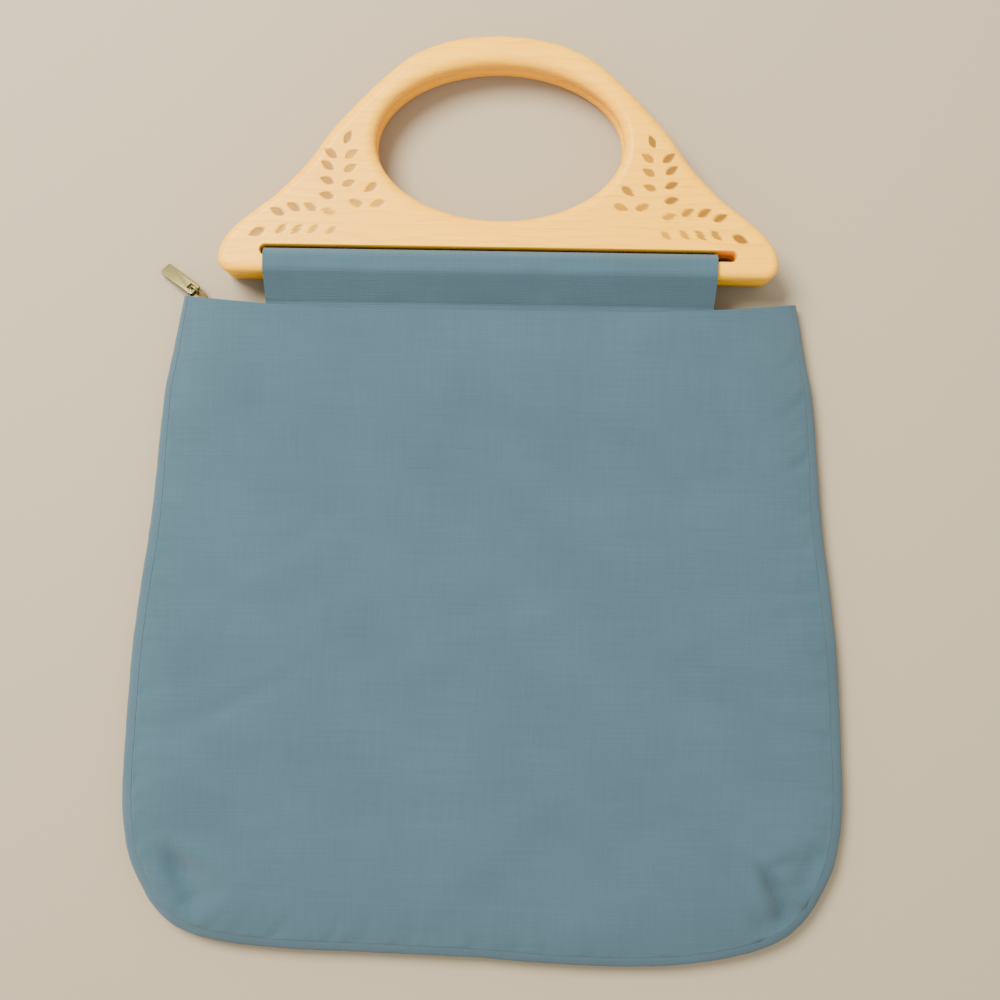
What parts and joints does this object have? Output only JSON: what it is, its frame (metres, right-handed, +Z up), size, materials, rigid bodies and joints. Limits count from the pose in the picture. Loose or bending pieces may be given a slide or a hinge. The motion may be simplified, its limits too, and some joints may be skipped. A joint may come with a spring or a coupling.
{
  "type": "zipped cloth handbag with two wooden handles, lying on its back",
  "caption": "Soft zipped handbag of plain-woven cloth, its hems looped round the slotted bars of two arched wooden handles, lying empty on its back.",
  "frame": {"origin": "on the surface under the middle of the whole bag as it lies on its back", "axes": "+Z up off the surface, +Y from the bottom of the pouch towards the handles, +X across to the right seen from above"},
  "size_m": [0.3628, 0.4648, 0.0315],
  "materials": {
    "bag_cloth": "plain weave, matt, grey-blue",
    "handle_wood": "sanded and lightly varnished, pale golden",
    "zip_tape_cloth": "woven tape, matt, grey-blue",
    "zip_brass": "pale antique brass, satin"
  },
  "bodies": {
    "bag": {"front_panel": "bag_cloth", "back_panel": "bag_cloth", "front_casing": "bag_cloth", "back_casing": "bag_cloth", "front_handle": "handle_wood", "back_handle": "handle_wood", "zip_tape": "zip_tape_cloth", "zip_teeth": "zip_brass", "zip_slider": "zip_brass"},
    "pull": {"zip_pull": "zip_brass"}
  },
  "joints": [
    {"name": "pull_swing", "type": "hinge", "parent": "bag", "child": "pull", "pos_m": [-0.14902, 0.1053, 0.00816], "axis": [0.6165, 0.7092, -0.342], "range_deg": [0, 140]}
  ]
}
